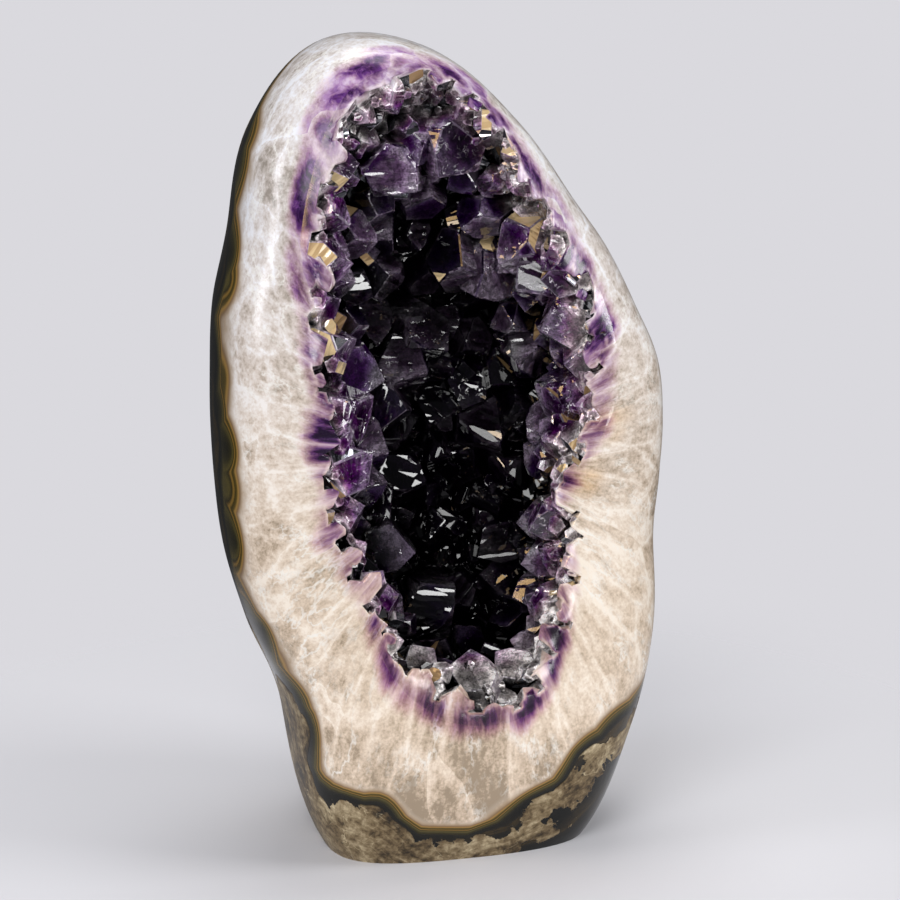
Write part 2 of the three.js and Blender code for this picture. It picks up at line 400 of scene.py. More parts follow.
def ring_thing(name, point_at, around, sweeps, last, first=None):
    """Rings of points that close in a last point. With a first point too the faces look outward,
    and without it they look inward."""
    bearings = np.arange(around) / around * FULL_TURN
    rows = point_at(bearings[None, :], np.asarray(sweeps)[:, None])
    start = 0 if first is None else 1
    points = np.array([*[first] * start, *rows.reshape(-1, 3), last])
    end = len(points) - 1
    last_ring = end - around
    faces = []
    for step in range(around):
        other = (step + 1) % around
        if start:
            faces.append((0, 1 + step, 1 + other))
        faces.append((end, last_ring + other, last_ring + step))
        for here in range(start, last_ring, around):
            beyond = here + around
            faces.append((here + step, beyond + step, beyond + other, here + other))
    if not start:
        faces = [(face[0], *face[:0:-1]) for face in faces]
    mesh = bpy.data.meshes.new(name)
    mesh.from_pydata((points * MM).tolist(), [], faces)
    mesh.validate()
    return new_thing(name, mesh)


def egg_skin(name):
    step = HALF_TURN / EGG_ALONG
    sweeps = np.linspace(step, HALF_TURN - step, EGG_ALONG - 1)
    ends = egg_point(0, HALF_TURN), egg_point(0, 0)
    return ring_thing(name, egg_point, EGG_AROUND, sweeps, *ends)


def hollow_skin(name, inset):
    """The hollow as a closed plug that reaches out through the mouth."""
    wall = partial(hollow_point, inset=inset)
    sweeps = [-1, -0.5, *np.linspace(0, LAST_SWEEP, HOLLOW_ALONG)]
    bearings = np.arange(HOLLOW_AROUND) / HOLLOW_AROUND * FULL_TURN
    mouth = np.array([AXIS_X, wall(bearings, sweeps[0])[:, 1].mean(), AXIS_Z])
    return ring_thing(name, wall, HOLLOW_AROUND, sweeps, wall(0, HALF_TURN / 2), mouth)


def lining_wall(name):
    """The wall that the points grow from, marked where a set of them grows."""
    wall = partial(hollow_point, inset=LINING_THICKNESS)
    (first, last), bearings = POINT_PLACES[name]
    sweeps = np.linspace(WALL_START, LAST_SWEEP, HOLLOW_ALONG)
    thing = ring_thing("lining_wall", wall, HOLLOW_AROUND, sweeps, wall(0, HALF_TURN / 2))
    turned = np.arange(HOLLOW_AROUND) / HOLLOW_AROUND * 360
    around = np.any([(turned - start) % 360 <= end - start for start, end in bearings], axis=0)
    growing = ((sweeps >= first) & (sweeps < last))[:, None] & around[None, :]
    store(thing.data, growing=[*growing.ravel(), last > HALF_TURN / 2])
    return thing


def polished_face():
    """The egg's skin with a rounded lip at the mouth, which the points are ground to."""
    skin = egg_skin("polished_face")
    places = vertex_places(skin.data)
    at_front = places[:, 1] < lean_at(places[:, 2])
    worn = LIP_WAVE * np.clip(inside_hollow(places) / LIP_REACH, 0, 1)
    waves = np.array([noise.noise(Vector(place / LIP_WAVE_LENGTH)) for place in places])
    places[:, 1] += np.where(at_front, lip_drop(places) + worn * waves, 0)
    set_places(skin.data, places)
    return skin


def lump(mesh):
    """Makes a wall of the hollow uneven in size, as the roots of the points leave it."""
    places = vertex_places(mesh)
    for place in places:
        swell = RIM_LUMP * noise.noise(Vector(place / RIM_LUMP_LENGTH))
        across, up = place[0] - AXIS_X, place[2] - AXIS_Z
        place += np.array([across, 0, up]) / max(math.hypot(across, up), 1) * swell
    set_places(mesh, places)


def ground_block():
    """The stone that is ground away below the foot."""
    bm = bmesh.new()
    bmesh.ops.create_cube(bm, size=1)
    bmesh.ops.scale(bm, vec=Vector(GROUND_AWAY), verts=bm.verts)
    bmesh.ops.translate(bm, vec=Vector((0, 0, -GROUND_AWAY[2] / 2)), verts=bm.verts)
    return new_thing("ground_block", mesh_of(bm, "ground_block"))


def quartz_shape(name, random, edge):
    """A quartz point along +Z of half width 1: six sides and six end faces, each set by how far
    it stands from the middle, and a root that stays buried. Edge is how wide its edges are worn."""
    faces = [(Vector((0, 0, -1)), ROOT_LENGTH)]
    for side in range(6):
        bearing = side * FULL_TURN / 6
        out = Vector((math.cos(bearing), math.sin(bearing), 0))
        faces.append((out, random.uniform(*SIDE_REACH)))
        end = out * math.sin(END_SLOPE)
        end.z = math.cos(END_SLOPE)
        faces.append((end, random.uniform(*END_REACH[side % 2])))
    bm = bmesh.new()
    for (n1, d1), (n2, d2), (n3, d3) in combinations(faces, 3):
        volume = n1.dot(n2.cross(n3))
        if abs(volume) < 1e-6:
            continue
        corner = (d1 * n2.cross(n3) + d2 * n3.cross(n1) + d3 * n1.cross(n2)) / volume
        if all(normal.dot(corner) < distance + 1e-6 for normal, distance in faces):
            bm.verts.new(corner)
    bmesh.ops.remove_doubles(bm, verts=bm.verts, dist=1e-4)
    bmesh.ops.convex_hull(bm, input=bm.verts)
    bmesh.ops.dissolve_limit(bm, angle_limit=0.001, verts=bm.verts, edges=bm.edges)
    bmesh.ops.bevel(bm, geom=bm.edges, offset=edge, segments=2 if edge > 0.1 else 1, profile=0.5,
                    affect="EDGES", clamp_overlap=True)
    bmesh.ops.triangulate(bm, faces=bm.faces)
    return bpy.data.objects.new(name, mesh_of(bm, name))


def point_collection(name, edge):
    random = np.random.default_rng(SEED)
    shapes = bpy.data.collections.new(name)
    for number in range(POINT_SHAPES):
        shapes.objects.link(quartz_shape(f"{name}_{number:02d}", random, edge))
    return shapes


def landmark_points():
    """Loose vertices where the large points grow, with their size, direction and turn."""
    bearing, sweep, size, turn = np.array(LARGE_POINTS, float).T
    bearing, sweep = bearing * DEGREE, sweep * DEGREE
    mesh = bpy.data.meshes.new("landmarks")
    places = hollow_point(bearing, sweep, LINING_THICKNESS)
    mesh.from_pydata((places * MM).tolist(), [], [])
    store(mesh, size=size * MM, turn=turn, rise=np.full(len(size), LARGE_POINT_RISE),
          direction=hollow_normal(bearing, sweep, LINING_THICKNESS))
    return new_thing("landmarks", mesh)


# Node trees
def linear(code):
    """Linear colour of an sRGB hex value."""
    parts = [int(code[place:place + 2], 16) / 255 for place in (0, 2, 4)]
    return (*(c / 12.92 if c <= 0.04045 else ((c + 0.055) / 1.055) ** 2.4 for c in parts), 1)


def set_stops(ramp, stops):
    """Sets a colour ramp's stops: places from 0 to 1 and their hex colours."""
    ramp.elements.remove(ramp.elements[-1])
    for number, (place, color) in enumerate(stops.items()):
        element = ramp.elements.new(place) if number else ramp.elements[0]
        element.position = place
        element.color = linear(color)


class Tree:
    """A node tree that is filled one node at a time."""

    def __init__(self, tree):
        self.tree = tree

    def add(self, kind, values=(), **settings):
        """Adds a node of a kind and operation, sets its options, and sets or links its inputs,
        given in their order or by name or number. A node stands for its first output in use, and
        text for a hex colour. MapRange takes a value, two ends of it and what these turn into."""
        kind, _, operation = kind.partition(" ")
        if operation:
            settings["operation"] = operation
        own = self.tree.bl_idname.removesuffix("Tree")
        prefixes = (own, "FunctionNode", "ShaderNode", "Node")
        full = next(prefix + kind for prefix in prefixes if hasattr(bpy.types, prefix + kind))
        node = self.tree.nodes.new(full)
        for name, value in settings.items():
            if name == "stops":
                set_stops(node.color_ramp, value)
            else:
                setattr(node, name, value)
        for key, value in values.items() if isinstance(values, dict) else enumerate(values):
            socket = node.inputs[key]
            if isinstance(value, bpy.types.Node):
                value = next(output for output in value.outputs if output.enabled)
            if isinstance(value, bpy.types.NodeSocket):
                self.tree.links.new(value, socket)
            elif isinstance(value, str) and socket.type == "RGBA":
                socket.default_value = linear(value)
            else:
                socket.default_value = value
        return node


def emptied(owner):
    """The node tree of a material or world, with nothing in it."""
    owner.use_nodes = True
    owner.node_tree.nodes.clear()
    return Tree(owner.node_tree)


def new_geometry_tree(name, sockets):
    """A Geometry Nodes tree with named inputs; returns it with the sockets that give them."""
    tree = bpy.data.node_groups.new(name, "GeometryNodeTree")
    tree.interface.new_socket("Geometry", in_out="OUTPUT", socket_type="NodeSocketGeometry")
    for label, kind in {"Geometry": "Geometry", **sockets}.items():
        tree.interface.new_socket(label, in_out="INPUT", socket_type="NodeSocket" + kind)
    return Tree(tree), tree.nodes.new("NodeGroupInput").outputs


def run_tree(thing, tree, inputs):
    """Puts a tree on a thing and sets its inputs by their sockets' identifiers."""
    change = thing.modifiers.new("nodes", "NODES")
    change.node_group = tree.tree
    for item in tree.tree.interface.items_tree:
        if item.in_out == "INPUT" and item.name in inputs:
            change[item.identifier] = inputs[item.name]


def scatter_tree():
    """Places for points: spread over a surface where it is marked as growing, clear of the large
    ones, each with its size, direction, turn and rise."""
    tree, given = new_geometry_tree("scatter_points", {
        "Landmarks": "Object", **dict.fromkeys(POINT_INPUTS, "Float"), "Seed": "Int",
        "Keep Landmarks": "Bool",
    })
    add = tree.add
    growing = add("InputNamedAttribute", {"Name": "growing"})
    spread = add("DistributePointsOnFaces", {
        "Mesh": given["Geometry"], "Distance Min": given["Spacing"], "Density Max": 200000,
        "Density Factor": growing, "Seed": given["Seed"],
    }, distribute_method="POISSON")
    marks = add("ObjectInfo", {"Object": given["Landmarks"]}).outputs["Geometry"]
    near = add("Proximity", (marks,), target_element="POINTS").outputs["Distance"]
    nearest = add("SampleNearest", {"Geometry": marks})
    mark_size = add("InputNamedAttribute", {"Name": "size"})
    sampled = add("SampleIndex", {"Geometry": marks, "Value": mark_size, "Index": nearest})
    room = add("Math MULTIPLY", (sampled, given["Room"]))
    crowded = add("Compare LESS_THAN", {"A": near, "B": room})
    points = add("DeleteGeometry", {"Geometry": spread, "Selection": crowded})
    chance = add("RandomValue", {"Seed": 3})
    skewed = add("Math POWER", (chance, 1.5))
    size = add("MapRange", (skewed, 0, 1, given["Smallest"], given["Largest"]))
    rise = add("RandomValue", {2: given["Lowest"], 3: given["Highest"], "Seed": 4})
    turn = add("RandomValue", {2: 0, 3: FULL_TURN, "Seed": 5})
    lean = add("RandomValue", {0: (-1, -1, -1), 1: (1, 1, 1), "Seed": 11}, data_type="FLOAT_VECTOR")
    leaned = add("VectorMath SCALE", {0: lean, "Scale": given["Tilt"]})
    direction = add("VectorMath", (spread.outputs["Normal"], leaned))
    unit = add("VectorMath NORMALIZE", (direction,))
    for name, value in (("size", size), ("rise", rise), ("turn", turn), ("direction", unit)):
        points = add("StoreNamedAttribute", {
            "Geometry": points, "Name": name, "Value": value,
        }, data_type="FLOAT_VECTOR" if value is unit else "FLOAT")
    loose = add("PointsToVertices", {"Points": points})
    kept_marks = add("Switch", {"Switch": given["Keep Landmarks"], "True": marks},
                     input_type="GEOMETRY")
    joined = add("JoinGeometry", (loose,))
    tree.tree.links.new(kept_marks.outputs[0], joined.inputs[0])
    add("GroupOutput", (joined,))
    return tree


def growth_tree():
    """Quartz points on given places, fused with what they grow from."""
    tree, given = new_geometry_tree("grow_points", {
        "Shapes": "Collection", "Lining": "Object", "Finish": "Material",
    })
    add = tree.add
    size, turn, rise, direction = (
        add("InputNamedAttribute", {"Name": name}, data_type=kind) for name, kind in (
            ("size", "FLOAT"), ("turn", "FLOAT"), ("rise", "FLOAT"), ("direction", "FLOAT_VECTOR"),
        ))
    height = add("Math MULTIPLY", (rise, size))
    offset = add("VectorMath SCALE", {0: direction, "Scale": height})
    raised = add("SetPosition", {"Geometry": given["Geometry"], "Offset": offset})
    upright = add("AlignRotationToVector", {"Vector": direction}, axis="Z")
    spin = add("AxisAngleToRotation", {"Axis": (0, 0, 1), "Angle": turn})
    turned = add("RotateRotation", {"Rotation": upright, "Rotate By": spin}, rotation_space="LOCAL")
    shapes = add("CollectionInfo", {
        "Collection": given["Shapes"], "Separate Children": True, "Reset Children": True,
    })
    grown = add("InstanceOnPoints", {
        "Points": raised, "Instance": shapes, "Pick Instance": True, "Rotation": turned,
        "Scale": size,
    })
    lining = add("ObjectInfo", {"Object": given["Lining"]}).outputs["Geometry"]
    fused = add("MeshBoolean UNION", {"Mesh 2": lining}, solver="MANIFOLD")
    tree.tree.links.new(grown.outputs[0], fused.inputs["Mesh 2"])
    plain = add("RealizeInstances", (fused,))
    finished = add("SetMaterial", {"Geometry": plain, "Material": given["Finish"]})
    add("GroupOutput", (finished,))
    return tree


# Patterns of the stone
def product(tree, *shares):
    """All shares multiplied."""
    result = shares[0]
    for share in shares[1:]:
        result = tree.add("Math MULTIPLY", (result, share))
    return result


def noise_sum(tree, *parts):
    """Weighted sum of noises, each a place, a scale, a detail and a share."""
    total = 0
    for place, scale, detail, share in parts:
        texture = tree.add("TexNoise", {
            "Vector": place, "Scale": scale, "Detail": detail, "Roughness": 0.62,
            "Distortion": 0.3,
        })
        total = tree.add("Math MULTIPLY_ADD", (texture, share, total))
    return total


def crests(tree, bent, width, height, patches, least, most):
    """Thin curved lines where a noise is half way, of a width and height, which show only where
    a noise of patches lets them."""
    off = tree.add("Math SUBTRACT", (tree.add("TexNoise", bent), 0.5))
    near = tree.add("Math ABSOLUTE", (off,))
    line = tree.add("MapRange", (near, 0, width, height, 0))
    present = tree.add("MapRange", (tree.add("TexNoise", patches), least, most))
    return product(tree, line, present)


def veils(tree, place, scale, width):
    """Lines as healed cracks draw them, broken off in places."""
    bent = {"Vector": place, "Scale": scale, "Detail": 3, "Roughness": 0.55, "Distortion": 0.8}
    patches = {"Vector": place, "Scale": scale * 1.7, "Detail": 3}
    return crests(tree, bent, width, 1, patches, 0.46, 0.62)


def growth_cells(tree, scale):
    """The columns that the quartz grew in, which run out from the hollow: a random value for
    each, and how near its edge a place is, from 0 on the edge to 1."""
    grain = tree.add("Attribute", attribute_name="grain").outputs["Vector"]
    bent = tree.add("TexNoise", {"Vector": grain, "Scale": scale * 1.3, "Detail": 2})
    shifted = tree.add("VectorMath SCALE", {0: bent.outputs["Color"], "Scale": 0.5 / scale})
    place = tree.add("VectorMath", (grain, shifted))
    cells = tree.add("TexVoronoi", {"Vector": place, "Scale": scale})
    edges = tree.add("TexVoronoi", {"Vector": place, "Scale": scale}, feature="DISTANCE_TO_EDGE")
    return (tree.add("SeparateColor", (cells.outputs["Color"],)), tree.add("MapRange", (edges, 0, 0.3)))


def milk_tone(tree, random, core):
    """White of the quartz on a polished cut: clear depths, milky clouds, sugary grains and frosty
    feathers, warmer towards the foot and a little different in each growth column."""
    add = tree.add
    place = add("TexCoord").outputs["Object"]
    grain = add("Attribute", attribute_name="grain").outputs["Vector"]
    some = add("VectorMath SCALE", {0: place, "Scale": 0.35})
    feather = add("VectorMath", (grain, some))
    tone = noise_sum(tree, (place, 42, 4, 0.3), (grain, 150, 4, 0.28), (feather, 360, 3, 0.28),
                     (place, 1000, 1, 0.16))
    shifted = add("Math MULTIPLY_ADD", (random, 0.09, tone))
    frosty_edge = add("MapRange", (core, 0, 0.35, 0.03, -0.05))
    column = add("Math", (shifted, frosty_edge))
    height = add("SeparateXYZ", (place,)).outputs["Z"]
    clearer = add("MapRange", (height, 0.02, 0.055, -0.11, 0))
    milk = add("ValToRGB", (add("Math", (column, clearer)),), stops={
        0.38: "a3998c", 0.44: "c9beb2", 0.5: "e2d9d0", 0.56: "f2ede8", 0.62: "ffffff",
    })
    low = add("MapRange", (height, 0.22, 0.08), **SMOOTH)
    warm = add("Mix", {0: low, 6: "fafaff", 7: "fff2e2"}, **COLOUR)
    frosted = add("Mix", {0: 1, 6: milk, 7: warm}, **TINT)
    for scale, width, least in ((85, 0.03, 0.5), (240, 0.06, 0.52)):
        bent = {"Vector": feather, "Scale": scale, "Detail": 4, "Roughness": 0.62}
        patches = {"Vector": feather, "Scale": scale * 0.45, "Detail": 2}
        share = crests(tree, bent, width, 0.7, patches, least, least + 0.14)
        frosted = add("Mix", {0: share, 6: frosted, 7: "fffcf6"}, **COLOUR)
    return frosted


def cut_colour(tree):
    """Colour of a polished cut through the quartz, by how far it lies past the hollow's wall:
    white outside, and violet from there on, each growth column from its own height, deepest in
    its core and pale along its edges. Returns the colour and the share of violet."""
    add = tree.add
    height, edge = (
        add("Attribute", attribute_name=name).outputs["Fac"] for name in ("violet_mm", "edge_mm"))
    grain = add("Attribute", attribute_name="grain").outputs["Vector"]
    x, _, z = add("SeparateXYZ", (add("TexCoord").outputs["Object"],)).outputs
    random, core = growth_cells(tree, 80)
    for scale, reach in ((30, 18), (150, 6)):
        smoke = add("TexNoise", {"Vector": grain, "Scale": scale, "Detail": 4, "Roughness": 0.6})
        height = add("Math MULTIPLY_ADD", (smoke, reach, height))
    column = add("Math MULTIPLY_ADD", (random, 4, height))
    rising = add("MapRange", (column, 12, 21), **SMOOTH)
    pale_edge = add("MapRange", (core, 0, 1, 0.4, 1.1), **SMOOTH)
    pale_rim = add("MapRange", (edge, 0.1, 1.4, 0.35), **SMOOTH)
    strength = add("MapRange", (random, 0, 1, 0.7, 1.15))
    fibre = add("TexNoise", {
        "Vector": grain, "Scale": 380, "Detail": 3, "Roughness": 0.65, "Distortion": 0.5,
    })
    streaks = add("MapRange", (fibre, 0.36, 0.64, 0.6, 1.2))
    low = add("MapRange", (z, 0.08, 0.07, 0, 7))
    pale_tip = add("MapRange", (add("Math", (column, low)), 27, 34, 1, 0.45), **SMOOTH)
    share = product(tree, rising, pale_edge, pale_rim, strength, streaks, pale_tip)
    violet = add("ValToRGB", (share,), stops={
        0: "ffffff", 0.18: "ead8e4", 0.45: "b48cb8", 0.7: "70408c", 1: "30104a",
    })
    colour = add("Mix", {0: 1, 6: milk_tone(tree, random, core), 7: violet}, **TINT)
    # Amber tint in patches on the lower right, on the cut past the hollow's wall
    patches = add("TexNoise", {"Vector": grain, "Scale": 34, "Detail": 2})
    amber_patches = add("MapRange", (patches, 0.5, 0.62))
    right = add("MapRange", (x, 0.025, 0.04))
    below = add("MapRange", (z, 0.15, 0.13))
    by_wall = add("MapRange", (column, 4, 14), **SMOOTH)
    amber = product(tree, amber_patches, right, below, by_wall)
    return add("Mix", {0: amber, 6: colour, 7: "f2d3a0"}, **TINT), share


def amethyst():
    """Clear violet quartz: grown faces are glassy and see-through, some frosted with fine growth
    steps; the polished cut at the mouth shows pale roots and deep violet cores. Shade is painted
    into the depth and between the points, and glints and tan reflections onto some faces."""
    material = bpy.data.materials.new("amethyst_clear_grown")
    tree = emptied(material)
    add = tree.add
    place = add("TexCoord").outputs["Object"]
    root, deep, ground, facet, slim, span, open_sky, silvery, film = (
        add("Attribute", attribute_name=name).outputs["Fac"] for name in (
            "root_mm", "deep_mm", "polished", "facet", "slim", "span", "open", "silvery", "film"))
    grain, middle, axis = (
        add("Attribute", attribute_name=name).outputs["Vector"] for name in (
            "grain", "middle", "axis"))
    cut_face, violet = cut_colour(tree)
    mottle = add("TexNoise", {"Vector": place, "Scale": 190, "Detail": 3, "Roughness": 0.6})

    # Old faces in the depth: violet towards their tips, with painted shade that turns them nearly black
    # towards the wall
    zone = add("Math MULTIPLY_ADD", (mottle, 9, root))
    level = add("MapRange", (zone, 10, 24))
    varied = add("Math MULTIPLY_ADD", (facet, 0.9, level))
    tone = add("Math SUBTRACT", (varied, 0.5))
    dark = add("ValToRGB", (tone,), stops={
        0: "010102", 0.42: "06020b", 0.62: "2a0a48", 0.82: "5f2a80", 1: "b494bc",
    })
    smoke = add("TexNoise", {"Vector": place, "Scale": 65, "Detail": 1})
    smoky = add("MapRange", (smoke, 0.53, 0.66))
    grey = add("HueSaturation", {"Saturation": 0.3, "Color": dark})
    smoked = add("Mix", {0: smoky, 6: dark, 7: grey}, **COLOUR)
    # Painted shade: faces further back in the hollow darken to near black
    darkness = add("MapRange", (deep, 16, 44, 0, 0.96))
    shaded = add("Mix", {0: darkness, 6: smoked, 7: "050208"}, **COLOUR)

    # Young faces at the mouth, pale at their roots
    mouth = add("Math MULTIPLY_ADD", (mottle, 22, deep))
    at_mouth = add("MapRange", (mouth, 16, 42, 1, 0), **SMOOTH)
    core = noise_sum(tree, (place, 45, 2, 24), (place, 150, 4, 12), (grain, 420, 4, 6))
    low = add("MapRange", (add("SeparateXYZ", (place,)).outputs["Z"], 0.084, 0.07, 0, -8))
    core_mm = add("Math", (core, add("Math", (root, low))))
    young = add("ValToRGB", (add("MapRange", (core_mm, 25, 43)),), stops={
        0: "f5ece9", 0.22: "e0c8d2", 0.4: "b686a8", 0.57: "73347e", 0.76: "370d44",
        1: "6c4276",
    })
    lit_face = add("MapRange", (facet, 0, 1, 0.35, 1.35))
    young_face = add("HueSaturation", {"Value": lit_face, "Color": young})
    veil = veils(tree, place, 210, 0.02)
    veined = add("Mix", {0: veil, 6: young_face, 7: "efe4ee"}, **COLOUR)
    both_ages = add("Mix", {0: at_mouth, 6: shaded, 7: veined}, **COLOUR)

    # Painted light in each face: brighter and greyer away from its middle, as light shows through
    # thinner quartz at the edges, with specks of painted sparkle
    specks = noise_sum(tree, (place, 500, 3, 0.6), (place, 1700, 1, 0.4))
    painted_sparkle = add("MapRange", (specks, 0.42, 0.6, 0.55, 1.9))
    away = add("VectorMath DISTANCE", (place, middle))
    away_share = add("Math DIVIDE", (away, span))
    uneven = add("Math MULTIPLY_ADD", (mottle, 0.5, away_share))
    painted_edge_light = add("MapRange", (uneven, 0.55, 0.95, 0.45, 1.9), **SMOOTH)
    greyer = add("MapRange", (painted_edge_light, 0.45, 1.9, 1.15, 0.6))
    brightness = product(tree, painted_edge_light, painted_sparkle)
    grown = add("HueSaturation", {"Saturation": greyer, "Value": brightness, "Color": both_ages})
    # Slim edge faces painted pale: partly worn frosting, partly a painted edge highlight that fades
    # deeper in the hollow
    outline = product(tree, slim, add("MapRange", (deep, 5, 40, 0.4, 0)))
    outlined = add("Mix", {0: outline, 6: grown, 7: "d5c4dd"}, **COLOUR)
    # Painted shade: places that other points close in turn nearly black
    lit = add("MapRange", (open_sky, 0.18, 0.66), **SMOOTH)
    crevice_painted_shade = add("Mix", {0: lit, 6: "030104", 7: outlined}, **COLOUR)
    colour = add("Mix", {0: ground, 6: crevice_painted_shade, 7: cut_face}, **COLOUR)

    # Growth steps: flat cells across each point, tilted a little
    stepped = add("Math MULTIPLY_ADD", (mottle, 1.2, facet))
    worn = add("MapRange", (stepped, 1.14, 1.18))
    frosted = add("Math MAXIMUM", (worn, silvery))
    unground = add("Math SUBTRACT", (1, ground))
    up_axis = add("VectorMath DOT_PRODUCT", (place, axis))
    layered = add("VectorMath SCALE", {0: axis, "Scale": up_axis})
    some = add("VectorMath SCALE", {0: place, "Scale": 0.16})
    step_place = add("VectorMath", (layered, some))
    steps = add("TexVoronoi", {"Vector": step_place, "Scale": 900}).outputs["Color"]
    tilt = add("MapRange", {"Vector": steps, 9: (-0.55,) * 3, 10: (0.55,) * 3},
               data_type="FLOAT_VECTOR")
    tilt_share = product(tree, add("MapRange", (frosted, 0, 1, 0.1)), unground)
    tilted = add("VectorMath SCALE", {0: tilt, "Scale": tilt_share})
    leaned = add("VectorMath", (add("NewGeometry").outputs["Normal"], tilted))
    normal = add("VectorMath NORMALIZE", (leaned,))
    ripple = add("TexNoise", {"Vector": place, "Scale": 420, "Detail": 2})
    bump = add("Bump", {
        "Strength": 1, "Distance": 0.00005, "Height": product(tree, ripple, ground),
        "Normal": normal,
    })

    # Gloss, and how clear each face is
    sheen = add("MapRange", (ground, 0, 1, 0.03, POLISH))
    roughness = add("Math MULTIPLY_ADD", (silvery, 0.14, sheen))
    outward = add("MapRange", (darkness, 0, 1, 0.45, 0.08))
    gloss = product(tree, unground, product(tree, outward, lit))
    milky = add("MapRange", (at_mouth, 0, 1, 0.65, 0.4))
    clear = add("Mix", {0: ground, 2: milky, 3: product(tree, violet, 0.5)})
    painted_reflection = add("Math MAXIMUM", (film, silvery))
    see_through = product(tree, clear, add("Math SUBTRACT", (1, painted_reflection)))

    # Painted reflections: silvery glints in the cells of the growth steps, and tan patches of a warm
    # reflection
    # Painted glints: the growth-step cells go from black to white on marked faces, which are also part
    # metallic
    glint = add("SeparateColor", (steps,)).outputs[1]
    painted_glints = add("ValToRGB", (glint,), stops={
        0: "0c0c10", 0.35: "3a3940", 0.6: "7c7d86", 0.85: "b8bac2", 0.97: "f4f6fa",
    })
    with_painted_glints = add("Mix", {0: silvery, 6: colour, 7: painted_glints}, **COLOUR)
    # Painted reflection: flat tan patches on marked faces, streaked by the same cells
    streaky = add("Math MULTIPLY_ADD", (glint, 0.45, facet))
    painted_tan_reflection = add("ValToRGB", (streaky,), stops={0: "54402c", 0.35: "907252", 0.7: "c2a074", 1: "ecd0a0"})
    filmed = add("Mix", {0: film, 6: with_painted_glints, 7: painted_tan_reflection}, **COLOUR)
    shader = add("BsdfPrincipled", {
        "Base Color": filmed, "Metallic": product(tree, silvery, 0.75), "Roughness": roughness,
        "IOR": QUARTZ_IOR, "Coat Weight": gloss, "Coat Roughness": 0.02, "Coat Normal": bump,
        "Transmission Weight": see_through, "Normal": bump,
    })
    depth = add("VolumeAbsorption", {"Color": (0.52, 0.0, 0.58, 1), "Density": 130})
    add("OutputMaterial", {"Surface": shader, "Volume": depth})
    return material


